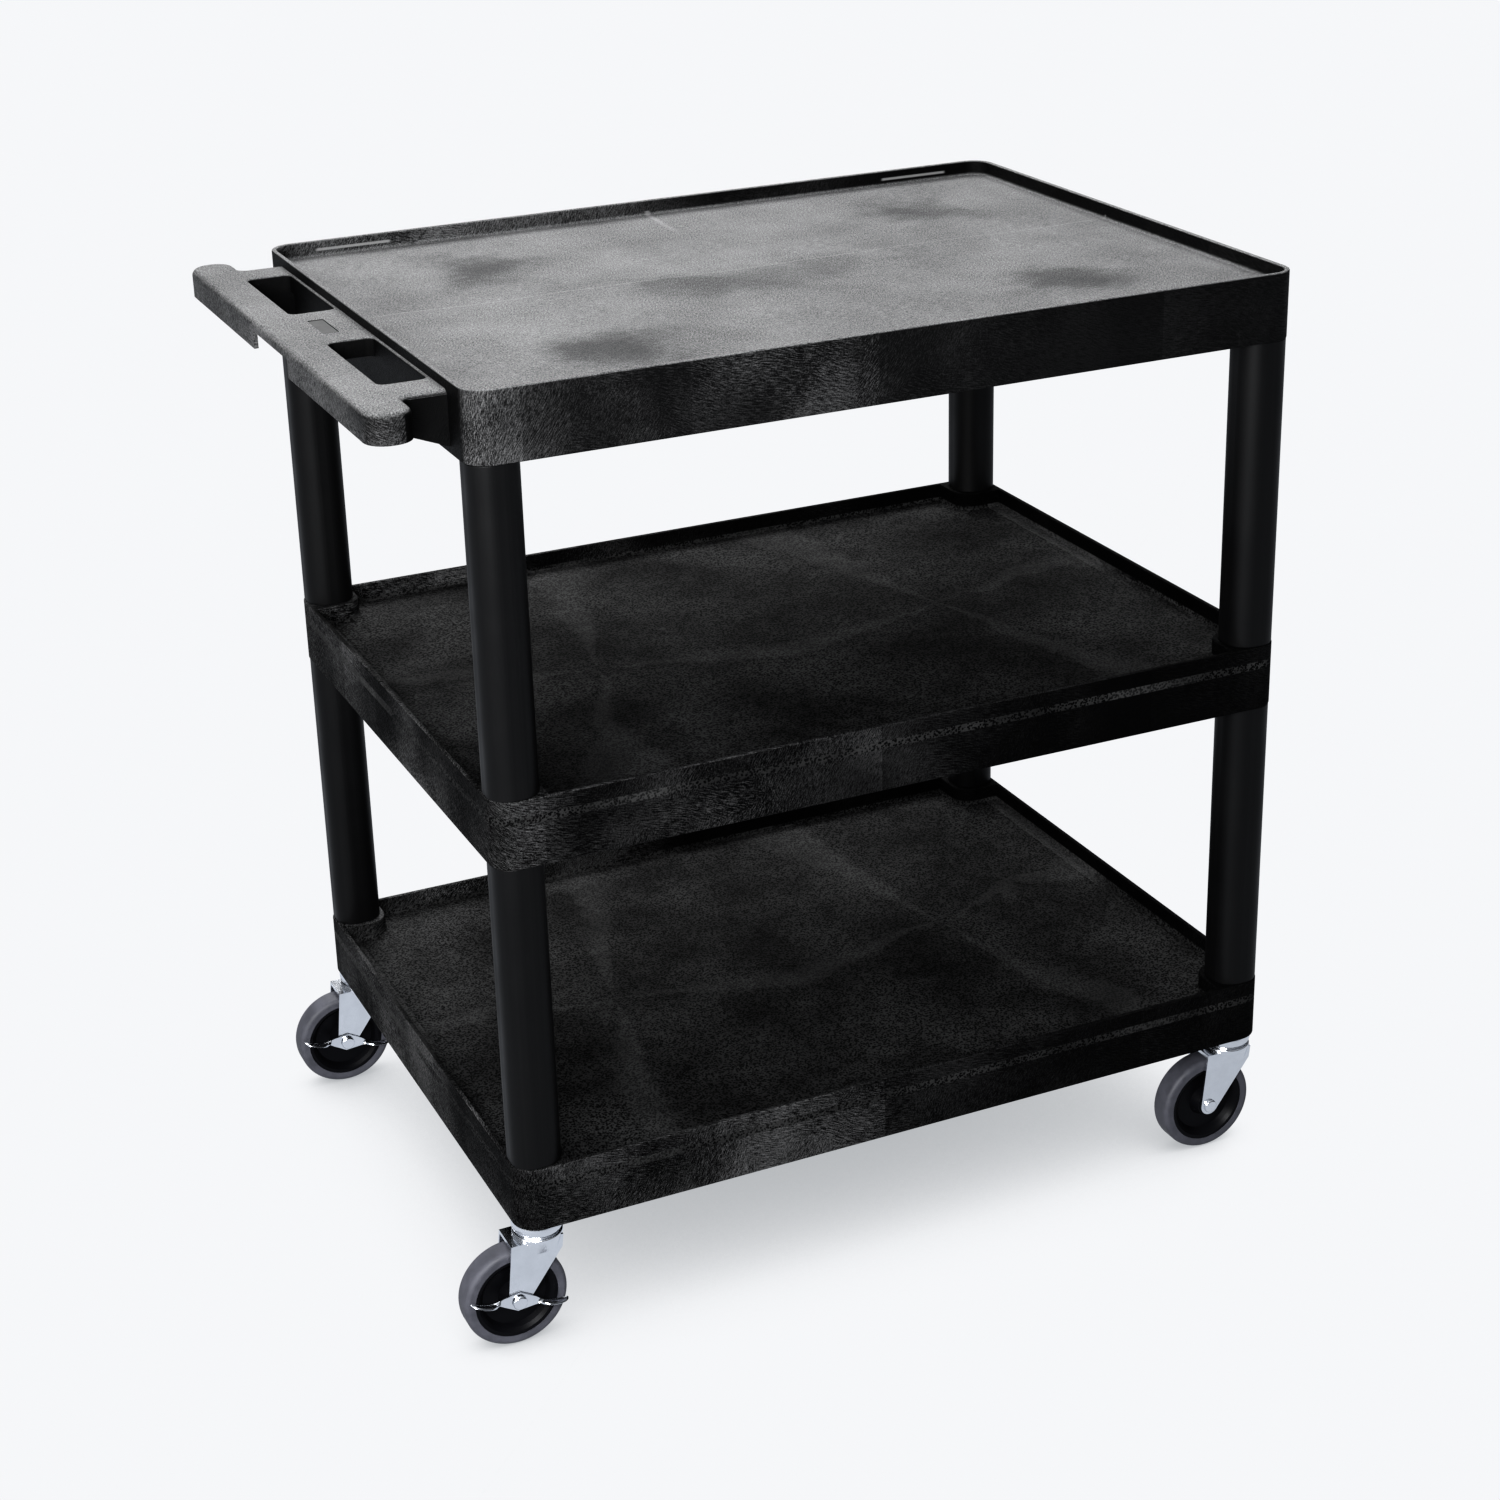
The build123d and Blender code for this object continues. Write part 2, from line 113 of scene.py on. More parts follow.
def newGroup(name, inputs, outputs):
    # A shader node group with named sockets. Returns its tree, its inputs and its output node.
    tree = bpy.data.node_groups.new(name, "ShaderNodeTree")
    for label, kind, value in inputs:
        socket = tree.interface.new_socket(label, in_out="INPUT", socket_type=kind)
        if kind == "NodeSocketFloat":
            socket.default_value = value
    for label in outputs:
        tree.interface.new_socket(label, in_out="OUTPUT", socket_type="NodeSocketFloat")
    entry = tree.nodes.new("NodeGroupInput")
    return tree, {s.name: s for s in entry.outputs}, tree.nodes.new("NodeGroupOutput")


def useGroup(tree, group, **sockets):
    # Places a node group in a material with this material's own values.
    return put(tree, "ShaderNodeGroup", {"node_tree": group}, **sockets).outputs


def newMaterial(name):
    # A material with a plain Principled shader. Returns it, its tree, the shader and the place on
    # the piece in Object coordinates.
    material = bpy.data.materials.new(name)
    material.use_nodes = True
    tree = material.node_tree
    shader = tree.nodes["Principled BSDF"]
    place = tree.nodes.new("ShaderNodeTexCoord").outputs["Object"]
    return material, tree, shader, place


def finishShader(tree, shader, colour, rough, height, strength, distance):
    # Joins colour, roughness and a bump that follows height to the shader.
    bump = put(tree, "ShaderNodeBump", Strength=strength, Distance=distance, Height=height)
    tree.links.new(colour, shader.inputs["Base Color"])
    tree.links.new(rough, shader.inputs["Roughness"])
    tree.links.new(bump.outputs[0], shader.inputs["Normal"])


def turned(tree, vector, degrees):
    # The vector turned about Z.
    return put(tree, "ShaderNodeVectorRotate", {"rotation_type": "Z_AXIS"}, Vector=vector,
               Angle=math.radians(degrees)).outputs[0]


def stretchedNoise(tree, vector, scale, detail, seed):
    # Noise that is stretched by a scale of its own along each axis.
    scaled = calcVector(tree, "MULTIPLY", vector, scale)
    return noise(tree, scaled, 1.0, detail, 0.68, seed).outputs[0]


def makeFoamFlow():
    # Skin of foam that flowed in the mould, on a flat vector that lies in the surface. A warped
    # noise gives the clouds. Strokes are two sets of short hatching, noises stretched along
    # two directions of the warped vector, and patches choose between them. Grit is a fine noise,
    # and pebbles are the distance to the nearest of scattered points.
    tree, given, result = newGroup("foamFlow", [
        ("Vector", "NodeSocketVector", None), ("Scale", "NodeSocketFloat", 5.0),
        ("Warp", "NodeSocketFloat", 0.12), ("Seed", "NodeSocketFloat", 0.0),
        ("Pebbles", "NodeSocketFloat", 420.0)],
        ["Cloud", "Stroke", "Grit", "Pebble"])
    push = noise(tree, given["Vector"], given["Scale"], 2.0, 0.5, given["Seed"]).outputs["Color"]
    centred = calcVector(tree, "SUBTRACT", push, (0.5, 0.5, 0.5))
    scaled = put(tree, "ShaderNodeVectorMath", {"operation": "SCALE"}, n0=centred,
                 Scale=given["Warp"]).outputs[0]
    warped = calcVector(tree, "ADD", given["Vector"], scaled)
    warped = calcVector(tree, "MULTIPLY", warped, (1.0, 1.0, 0.0))
    cloud = noise(tree, warped, given["Scale"], 6.0, 0.62, given["Seed"]).outputs[0]
    shallow = stretchedNoise(tree, turned(tree, warped, 16.0), (110.0, 1050.0, 0.0), 4.0, given["Seed"])
    steep = stretchedNoise(tree, turned(tree, warped, -62.0), (150.0, 1150.0, 0.0), 4.0, given["Seed"])
    patchScale = times(tree, given["Scale"], 1.3)
    choice = noise(tree, warped, patchScale, 1.0, 0.5, plus(tree, given["Seed"], 3.0)).outputs[0]
    chosen = put(tree, "ShaderNodeMix", {"data_type": "FLOAT"}, n0=fade(tree, choice, 0.44, 0.56),
                 n2=shallow, n3=steep).outputs[0]
    grit = noise(tree, given["Vector"], 620.0, 2.0, 0.7, given["Seed"]).outputs[0]
    cells = put(tree, "ShaderNodeTexVoronoi", {"feature": "SMOOTH_F1"}, Vector=given["Vector"],
                Scale=given["Pebbles"], Smoothness=0.6).outputs["Distance"]
    tree.links.new(fade(tree, grit, 0.3, 0.7), result.inputs["Grit"])
    tree.links.new(fade(tree, cloud, 0.2, 0.8), result.inputs["Cloud"])
    tree.links.new(fade(tree, chosen, 0.34, 0.70), result.inputs["Stroke"])
    tree.links.new(fade(tree, cells, 0.1, 0.7), result.inputs["Pebble"])
    return tree


def makeScuffs():
    # Short pale scuffs and dust specks. Scuffs are the thin middle band of a noise that is stretched
    # along one axis, kept only where a broad noise is high. Specks are the peaks of a fine noise.
    tree, given, result = newGroup("scuffs", [
        ("Vector", "NodeSocketVector", None), ("Stretch", "NodeSocketVector", None),
        ("Seed", "NodeSocketFloat", 0.0), ("Amount", "NodeSocketFloat", 0.5)], ["Scuff", "Speck"])
    stretched = calcVector(tree, "MULTIPLY", given["Vector"], given["Stretch"])
    thread = noise(tree, stretched, 1.0, 3.0, 0.6, given["Seed"]).outputs[0]
    offMiddle = calc(tree, "ABSOLUTE", minus(tree, thread, 0.5))
    where = noise(tree, given["Vector"], 11.0, 2.0, 0.5, plus(tree, given["Seed"], 5.0)).outputs[0]
    scuff = times(tree, fade(tree, offMiddle, 0.0, 0.012, 1.0, 0.0), fade(tree, where, 0.52, 0.66))
    dots = noise(tree, given["Vector"], 520.0, 1.0, 0.5, given["Seed"]).outputs[0]
    tree.links.new(times(tree, scuff, given["Amount"]), result.inputs["Scuff"])
    tree.links.new(times(tree, fade(tree, dots, 0.76, 0.82), given["Amount"]), result.inputs["Speck"])
    return tree


foamFlow = makeFoamFlow()
scuffs = makeScuffs()
print("shared effects ready")

shelfLook = {
    "dark": (0.0010, 0.0010, 0.0011),    # skin where the foam packed tight
    "light": (0.150, 0.150, 0.152),      # skin where it swirled
    "dustSheenDark": (0.022, 0.022, 0.023),   # the same on the top shelf's upward faces, dulled by use and paler with painted sheen
    "dustSheenLight": (0.275, 0.275, 0.276),
    "markTone": (0.30, 0.30, 0.30),
    "handleEndLight": (-0.33, 0.38, 1.5, 0.1), # painted light, paler towards the handle end: start and end along X, gains there
    "flowScale": 7.0,
    "warp": 0.045,                       # how far the flow wanders
    "pebbles": 460.0,                    # pebbles to the metre on the low trays
    "pebbleGlint": 0.62,                  # how pale the painted glints on them turn
    "pocket": (-0.415, -0.366),          # the handle's finger slots along X, with painted shade inside
    "roughLow": 0.50,
    "roughHigh": 0.64,
    "lowShelfRough": 0.12,               # how much rougher the two low shelves are
    "trayX": 0.04075,                    # the trays' middle
    "trayHalfX": 0.4015,                 # half of the tray's inner length
    "spot": (0.235, 0.165),              # the four soft dull spots, from the tray's middle
    "spotReach": 0.085,
    "patch": (0.02, 0.085, 0.55),        # dull patch in the middle: full within, gone past, strength
    "edgeWander": 0.09,                  # how far the flow pushes the edges of spots and patch
    "flowLineY": 0.03,                   # the lengthwise flow line
    "rubbed": (0.0255, 0.165, 0.285),    # rubbed line near the back: X, start and end along Y
    "wallGlint": (0.282, 0.355),              # painted highlights on the back wall: start and end from the middle
    "wallGlintZ": 0.9212,
    "wallGlintY": (0.285, 0.2965),            # the wall's inner face lies between these
    "fanX": 0.19,                        # where flow lines fan out on the low trays, from the middle
    "stripWidth": 0.015,                 # smoother strip beside the end walls of the low trays
}


def bandMask(tree, value, middle, half, soft):
    # 1 within half of middle, easing to 0 over soft.
    return fade(tree, calc(tree, "ABSOLUTE", minus(tree, value, middle)), half, half + soft, 1.0, 0.0)


def topDeckMarks(tree, x, y, cloud):
    # Dull spots at four folded points and one broad dull patch in the middle; a lengthwise flow
    # line and one rubbed line. Returns the dulling, the pale marks and the flow line.
    look = shelfLook
    fromMiddle = calc(tree, "ABSOLUTE", minus(tree, x, look["trayX"]))
    foldedX = minus(tree, fromMiddle, look["spot"][0])
    foldedY = minus(tree, calc(tree, "ABSOLUTE", y), look["spot"][1])
    uneven = minus(tree, cloud, 0.5)
    wander = times(tree, uneven, look["edgeWander"])
    gap = calc(tree, "SQRT", plus(tree, times(tree, foldedX, foldedX), times(tree, foldedY, foldedY)))
    spot = fade(tree, plus(tree, gap, wander), 0.0, look["spotReach"], 1.0, 0.0)
    longWays = times(tree, times(tree, fromMiddle, fromMiddle), 0.3)
    wide = calc(tree, "SQRT", plus(tree, longWays, times(tree, y, y)))
    patchIn, patchOut, patchStrength = look["patch"]
    patch = fade(tree, plus(tree, wide, wander), patchIn, patchOut, patchStrength, 0.0)
    wavyY = plus(tree, y, times(tree, uneven, 0.010))
    line = bandMask(tree, wavyY, look["flowLineY"], 0.0003, 0.0016)
    rubX, rubStart, rubEnd = look["rubbed"]
    slanted = plus(tree, x, times(tree, y, -0.06))
    rubbed = times(tree, bandMask(tree, slanted, rubX, 0.0006, 0.004), fade(tree, y, rubStart, rubEnd))
    pale = plus(tree, times(tree, line, 0.34), times(tree, rubbed, 0.5))
    return calc(tree, "MAXIMUM", spot, patch), pale, line


def backWallGlints(tree, x, y, z):
    # Two painted highlights, smooth pale dashes low on the inside of the top tray's back wall, one near each
    # end.
    look = shelfLook
    start, end = look["wallGlint"]
    near, far = look["wallGlintY"]
    fromMiddle = calc(tree, "ABSOLUTE", minus(tree, x, look["trayX"]))
    lengthwise = bandMask(tree, fromMiddle, (start + end) / 2, (end - start) / 2, 0.004)
    low = times(tree, bandMask(tree, z, look["wallGlintZ"], 0.0008, 0.0010), fade(tree, y, near, near + 0.002))
    return times(tree, times(tree, lengthwise, low), fade(tree, y, far, far + 0.001, 1.0, 0.0))


def lowDeckMarks(tree, x, y, cloud):
    # A smoother strip beside each end wall, closed by a thin groove that runs from the back to
    # about mid depth, and faint flow lines fanning out from two points. Returns the dulling,
    # which is the groove's, the pale marks and the groove.
    look = shelfLook
    fromMiddle = calc(tree, "ABSOLUTE", minus(tree, x, look["trayX"]))
    inwards = minus(tree, look["trayHalfX"], fromMiddle)
    behind = fade(tree, y, -0.03, 0.02)
    groove = times(tree, bandMask(tree, inwards, look["stripWidth"], 0.0005, 0.0012), behind)
    beside = fade(tree, inwards, look["stripWidth"] - 0.002, look["stripWidth"], 1.0, 0.0)
    strip = times(tree, beside, behind)
    wander = times(tree, minus(tree, cloud, 0.5), 0.05)
    angle = calc(tree, "ARCTAN2", plus(tree, y, wander), minus(tree, fromMiddle, look["fanX"]))
    fan = calc(tree, "SINE", plus(tree, times(tree, angle, 4.0), times(tree, cloud, 1.2)))
    pale = plus(tree, times(tree, strip, 0.25), fade(tree, fan, 0.86, 1.0, 0.0, 0.16))
    return groove, pale, groove


def flatOnFaces(tree, x, y, z, facing):
    # A flat vector that lies in the surface: (x, y) on level faces, and (x - y, z) on upright
    # ones. It runs on round the front left and back right corners, and is drawn out sideways at
    # the other two, where x - y hardly changes.
    level = calc(tree, "GREATER_THAN", calc(tree, "ABSOLUTE", facing), 0.7)
    upright = minus(tree, 1.0, level)
    return put(tree, "ShaderNodeCombineXYZ",
               X=minus(tree, x, times(tree, y, upright)),
               Y=plus(tree, times(tree, z, upright), times(tree, y, level))).outputs[0]


def swirlsWithPaintedLight(tree, tone, flat, x, seed):
    # How pale the skin is on upright faces: the tone, thinned out by broad patches and by panels
    # of random strength along the skirt, and stronger towards the handle end as painted light from that
    # side.
    along = put(tree, "ShaderNodeSeparateXYZ", Vector=flat).outputs[0]
    panels = put(tree, "ShaderNodeTexVoronoi", {"voronoi_dimensions": "1D"}, W=along, Scale=6.5)
    panel = put(tree, "ShaderNodeSeparateColor", Color=panels.outputs["Color"]).outputs[0]
    broad = noise(tree, flat, 4.2, 2.0, 0.5, seed + 9.0).outputs[0]
    sparse = times(tree, fade(tree, tone, 0.28, 0.84), fade(tree, broad, 0.36, 0.62, 0.15, 1.0))
    sparse = times(tree, sparse, minus(tree, 1.0, times(tree, panel, 0.65)))
    # Painted light: the skin turns paler towards the handle end, where the lamps fall.
    return times(tree, sparse, fade(tree, x, *shelfLook["handleEndLight"]))


def makeShelfMaterial(name, seed, deckHeight, top):
    # Foam-moulded plastic of one shelf. Colour, gloss and bump follow the flow in the mould, with
    # the deck's own marks; the low trays are pebbled. The deck is known by its height alone, so a
    # little of its marks also shows on the outside of the skirts at that height. The colour also holds
    # painted light: paler towards the handle end, a painted sheen on the top shelf's upward faces,
    # painted glints on the back wall and on the pebbles, and painted shade in the handle's slots and
    # on the low decks.
    material, tree, shader, place = newMaterial(name)
    look = shelfLook
    x, y, z = put(tree, "ShaderNodeSeparateXYZ", Vector=place).outputs
    normal = put(tree, "ShaderNodeNewGeometry").outputs["Normal"]
    facing = put(tree, "ShaderNodeSeparateXYZ", Vector=normal).outputs[2]
    flat = flatOnFaces(tree, x, y, z, facing)
    flow = useGroup(tree, foamFlow, Vector=flat, Scale=look["flowScale"], Warp=look["warp"], Seed=seed,
                    Pebbles=look["pebbles"])
    marks = useGroup(tree, scuffs, Vector=place, Stretch=(9.0, 60.0, 30.0), Seed=seed, Amount=0.6)
    onDeck = bandMask(tree, z, deckHeight, 0.0035, 0.001)
    deckMarks = (topDeckMarks if top else lowDeckMarks)(tree, x, y, flow["Cloud"])
    dull, pale, groove = (times(tree, mark, onDeck) for mark in deckMarks)

    fine = plus(tree, times(tree, flow["Stroke"], 0.42), times(tree, flow["Grit"], 0.22))
    tone = plus(tree, times(tree, flow["Cloud"], 0.36), fine)
    sparse = swirlsWithPaintedLight(tree, tone, flat, x, seed)
    # Painted shade: on the two low decks, under the shelf above, most of the pale swirl is taken out.
    if not top:
        sparse = times(tree, sparse, minus(tree, 1.0, times(tree, onDeck, 0.85)))
    skin = blendColour(tree, sparse, look["dark"], look["light"])
    # Painted sheen and dust: the top shelf's upward faces are coloured paler, in a mottle of the flow; the
    # low decks get almost none of it.
    grain = plus(tree, times(tree, flow["Stroke"], 0.34), times(tree, flow["Grit"], 0.46))
    deckMottle = plus(tree, times(tree, flow["Cloud"], 0.20), grain)
    calmed = times(tree, deckMottle, minus(tree, 1.0, times(tree, dull, 0.45)))
    dustAndSheen = blendColour(tree, fade(tree, calmed, 0.08, 0.92), look["dustSheenDark"], look["dustSheenLight"])
    dustSheenFaces = times(tree, fade(tree, facing, 0.25, 0.9), 1.0 if top else 0.02)
    colour = blendColour(tree, dustSheenFaces, skin, dustAndSheen)

    bright = plus(tree, times(tree, marks["Scuff"], 0.04), times(tree, marks["Speck"], 0.3))
    if top:
        # Painted shade: the inside walls of the handle's finger slots are coloured dark.
        pocketStart, pocketEnd = look["pocket"]
        pocketMiddle, pocketHalf = (pocketStart + pocketEnd) / 2, (pocketEnd - pocketStart) / 2
        paintedSlotShade = bandMask(tree, x, pocketMiddle, pocketHalf, 0.002)
        paintedSlotShade = times(tree, paintedSlotShade, fade(tree, facing, 0.3, 0.8, 1.0, 0.0))
        colour = blendColour(tree, paintedSlotShade, colour, look["dark"])
        bright = plus(tree, bright, times(tree, backWallGlints(tree, x, y, z), 0.8))
    else:
        # Painted highlight: the pebbles on the low decks are coloured pale, as glints on their bumps.
        pebbleGlints = times(tree, onDeck, fade(tree, flow["Cloud"], 0.0, 1.0, 0.12, look["pebbleGlint"]))
        bright = plus(tree, bright, times(tree, fade(tree, flow["Pebble"], 0.3, 1.0), pebbleGlints))
    bright = times(tree, plus(tree, bright, pale), 1.0 if top else 0.3)
    colour = blendColour(tree, bright, colour, look["markTone"])

    lift = 0.0 if top else look["lowShelfRough"]
    rough = fade(tree, tone, 0.0, 1.0, look["roughHigh"] + lift, look["roughLow"] + lift)
    rough = plus(tree, rough, times(tree, dull, 0.08))
    pebbleHeight = times(tree, flow["Pebble"], times(tree, onDeck, 0.1 if top else 0.8))
    height = minus(tree, plus(tree, times(tree, flow["Stroke"], 0.6), pebbleHeight), groove)
    finishShader(tree, shader, colour, rough, height, 0.6, 0.0007)
    shader.inputs["Specular IOR Level"].default_value = 0.16 if top else 0.05
    return material


def makeLegMaterial():
    # Extruded satin tube: fine lines along Z and slow unevenness in gloss.
    material, tree, shader, place = newMaterial("legSatin")
    drawn = put(tree, "ShaderNodeMapping", Vector=place, Scale=(420.0, 420.0, 2.0)).outputs[0]
    lines = noise(tree, drawn, 1.0, 3.0, 0.6).outputs[0]
    slow = noise(tree, place, 14.0, 3.0, 0.5, 4.0).outputs[0]
    marks = useGroup(tree, scuffs, Vector=place, Stretch=(70.0, 70.0, 8.0), Seed=12.0, Amount=0.4)
    tone = plus(tree, times(tree, lines, 0.6), times(tree, marks["Scuff"], 0.6))
    colour = blendColour(tree, tone, (0.0025, 0.0025, 0.0028), (0.009, 0.009, 0.0095))
    colour = blendColour(tree, times(tree, marks["Speck"], 0.2), colour, (0.2, 0.2, 0.2))
    finishShader(tree, shader, colour, fade(tree, slow, 0.3, 0.7, 0.40, 0.5), lines, 0.06, 0.0003)
    shader.inputs["Specular IOR Level"].default_value = 0.24
    return material


def makePlainPlastic(name, colour, roughLow, roughHigh, grain, specular):
    # Plain moulded plastic: fine grain in the bump, broad unevenness in gloss and tone.
    material, tree, shader, place = newMaterial(name)
    fine = noise(tree, place, 1500.0, 2.0, 0.6).outputs[0]
    broad = noise(tree, place, 40.0, 3.0, 0.55, 2.0).outputs[0]
    marks = useGroup(tree, scuffs, Vector=place, Stretch=(60.0, 60.0, 60.0), Seed=31.0, Amount=0.5)
    base = blendColour(tree, broad, tuple(v * 0.7 for v in colour), tuple(v * 1.3 for v in colour))
    base = blendColour(tree, times(tree, marks["Speck"], 0.3), base, (0.3, 0.3, 0.3))
    finishShader(tree, shader, base, fade(tree, broad, 0.3, 0.7, roughLow, roughHigh), fine, grain, 0.0002)
    shader.inputs["Specular IOR Level"].default_value = specular
    return material


def makeTreadMaterial():
    # Grey non-marking tread with a slightly blue, cloudy tone, dark rub marks and pale dust specks.
    material, tree, shader, place = newMaterial("treadGrey")
    broad = noise(tree, place, 60.0, 4.0, 0.6, 1.0).outputs[0]
    fine = noise(tree, place, 900.0, 2.0, 0.6).outputs[0]
    marks = useGroup(tree, scuffs, Vector=place, Stretch=(90.0, 90.0, 90.0), Seed=8.0, Amount=0.7)
    colour = blendColour(tree, fade(tree, broad, 0.3, 0.7), (0.066, 0.067, 0.079), (0.098, 0.099, 0.117))
    colour = blendColour(tree, times(tree, marks["Scuff"], 0.4), colour, (0.05, 0.05, 0.055))
    colour = blendColour(tree, times(tree, marks["Speck"], 0.3), colour, (0.4, 0.4, 0.4))
    finishShader(tree, shader, colour, fade(tree, broad, 0.3, 0.7, 0.5, 0.66), fine, 0.12, 0.0003)
    return material


def makeMetal(name, colour, metallic, roughLow, roughHigh, grainScale, dents):
    # Plated steel: faint cloudy plating, fine grain in gloss, and slow waviness from stamping.
    material, tree, shader, place = newMaterial(name)
    cloud = noise(tree, place, 70.0, 4.0, 0.55, 3.0).outputs[0]
    grain = noise(tree, place, grainScale, 2.0, 0.6, 5.0).outputs[0]
    base = blendColour(tree, fade(tree, cloud, 0.3, 0.7), tuple(v * 0.94 for v in colour), colour)
    rough = fade(tree, cloud, 0.3, 0.7, roughLow, roughHigh)
    rough = plus(tree, rough, times(tree, minus(tree, grain, 0.5), 0.05))
    finishShader(tree, shader, base, rough, cloud, dents, 0.0004)
    shader.inputs["Metallic"].default_value = metallic
    return material


materials = {
    "top_shelf": makeShelfMaterial("topShelfFoam", 0.0, 0.915, True),
    "middle_shelf": makeShelfMaterial("middleShelfFoam", 21.0, 0.542, False),
    "bottom_shelf": makeShelfMaterial("bottomShelfFoam", 43.0, 0.173, False),
    "handle_plate": makePlainPlastic("plateSatin", (0.010, 0.010, 0.0105), 0.42, 0.52, 0.1, 0.3),
    "leg": makeLegMaterial(),
    "caster_socket": makePlainPlastic("socketNylon", (0.04, 0.04, 0.04), 0.45, 0.55, 0.15, 0.4),
    "wheel_hub": makePlainPlastic("hubGloss", (0.006, 0.006, 0.0075), 0.34, 0.42, 0.03, 0.12),
    "wheel_tread": makeTreadMaterial(),
    "zinc": makeMetal("zincBright", (0.80, 0.82, 0.86), 1.0, 0.17, 0.23, 700.0, 0.004),
    "steel": makeMetal("steelPlain", (0.6, 0.6, 0.62), 1.0, 0.22, 0.34, 900.0, 0.05),
}
steelParts = ("caster_stem", "caster_balls", "caster_bush")
for name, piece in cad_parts.items():
    key = next((k for k in materials if name.startswith(k)), None)
    if "_leg_" in name:
        key = "leg"
    elif key is None:
        key = "steel" if name.startswith(steelParts) else "zinc"
    piece.data.materials.clear()
    piece.data.materials.append(materials[key])
print("materials placed")

pedalLook = {
    "reach": 0.048,                      # from the axle to either foot tab's end
    "boss": 0.0095,                      # half height of the plate at the axle
    "neck": 0.0022,                      # half height where the plate turns into a tab
    "tabDepth": 0.0074,                  # how far a tab stands out from the plate
    "dish": 0.0026,                      # how far a tab's end curls up
    "tip": 0.0006,                       # what is left of that depth at the very end
    "steel": 0.0017,                     # thickness of the sheet
    "tilt": 12.0,                        # released pedal, front end down, in degrees
    "steps": (121, 17),                  # points from tab to tab, and across the sheet
}


def eased(value, start, end):
    # 0 before start, 1 after end, and the smooth cubic 3t^2 - 2t^3 between.
    t = np.clip((value - start) / (end - start), 0.0, 1.0)
    return t * t * (3.0 - 2.0 * t)


def gridFaces(rows, columns):
    # Four-sided faces of a grid whose points are numbered row by row.
    index = np.arange(rows * columns).reshape(rows, columns)
    return np.stack([index[:-1, :-1], index[1:, :-1], index[1:, 1:], index[:-1, 1:]], axis=-1).reshape(-1, 4)


def pedalSheet():
    # The pressed sheet of a pedal: u runs from tab to tab past the axle, v across the sheet. It
    # has no hole for the axle, which passes through the sheet under the bolt's head.
    # Near the axle the sheet stands upright with half height boss (1 - |u| / 0.62), never under
    # neck. Past |u| = 0.62 it lies flat and stands out by tabDepth sqrt(1 - t^4), where t is the
    # way along the tab, and curls up with t^3. Between the two it turns over smoothly.
    look = pedalLook
    rows, columns = look["steps"]
    u, v = np.meshgrid(np.linspace(-1.0, 1.0, rows), np.linspace(0.0, 1.0, columns), indexing="ij")
    away = np.abs(u)
    half = np.maximum(look["boss"] * (1.0 - away / 0.62), look["neck"])
    onTab = np.clip((away - 0.55) / 0.45, 0.0, 1.0)
    depth = look["tabDepth"] * np.sqrt(1.0 - onTab ** 4) + look["tip"]
    curl = look["dish"] * (onTab ** 3 + 0.4 * (2.0 * v - 1.0) ** 2)
    turn = eased(away, 0.30, 0.62)
    out = turn * depth * (1.0 - v)
    up = (1.0 - turn) * (2.0 * v - 1.0) * half + turn * (curl - look["neck"])
    return look["reach"] * u, out, up


def makePedal(corner):
    # One pedal in place of its plain CAD solid, tilted about the axle. Its tabs stand out towards
    # -Y from the CAD solid's inner face.
    name = f"brake_pedal_{corner}"
    along, out, up = pedalSheet()
    wheelLow, wheelHigh = (np.array(v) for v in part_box(f"wheel_tread_{corner}"))
    axle = (wheelLow + wheelHigh) / 2.0
    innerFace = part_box(name)[1][1]
    tilt = math.radians(pedalLook["tilt"])
    points = np.stack([
        axle[0] + along * math.cos(tilt) + up * math.sin(tilt),
        innerFace - pedalLook["steel"] / 2.0 - out,
        axle[2] - along * math.sin(tilt) + up * math.cos(tilt)], axis=-1).reshape(-1, 3)
    mesh = bpy.data.meshes.new(f"pedalPressed_{corner}")
    mesh.from_pydata(points.tolist(), [], gridFaces(*pedalLook["steps"]).tolist())
    mesh.shade_smooth()
    mesh.materials.append(materials["zinc"])
    pedal = bpy.data.objects.new(f"pedalPressed_{corner}", mesh)
    bpy.context.scene.collection.objects.link(pedal)
    shell = pedal.modifiers.new("steel", "SOLIDIFY")
    shell.thickness, shell.offset = pedalLook["steel"], 0.0
    edge = pedal.modifiers.new("edge", "BEVEL")
    edge.width, edge.segments = 0.0003, 2
    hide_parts(name)
    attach(pedal, f"brake_{corner}")


for corner in brakedCorners:
    makePedal(corner)
print("pedals ready")

capLook = {
    "neck": 0.0226,                      # outer radius just under the shelf and at the lower edge
    "bead": 0.0019,                      # how far the rolled bead stands out from that
    "wallRadius": 0.0220,                # inside of the wall
    "roof": 0.0052,                      # thickness of the roof
    "bore": 0.00602,                     # hole for the stem
    "beadSteps": 25,
    "turnSteps": 97,
}


def capProfile(low, high):
    # Closed section of a cap, as radius and height. The outside swells by bead sin(pi t)^0.7 from
    # the top, t = 0, to the lower edge, t = 1; the rest is the plain inside of the cap.
    look = capLook
    t = np.linspace(0.0, 1.0, look["beadSteps"])
    swell = look["bead"] * np.sin(np.pi * t).clip(0.0) ** 0.7
    outside = np.stack([look["neck"] + swell, high - (high - low) * t], axis=-1)
    roofLow = high - look["roof"]
    inside = np.array([
        (look["wallRadius"], low), (look["wallRadius"], roofLow),
        (look["bore"], roofLow), (look["bore"], high)])
    return np.concatenate([outside, inside])


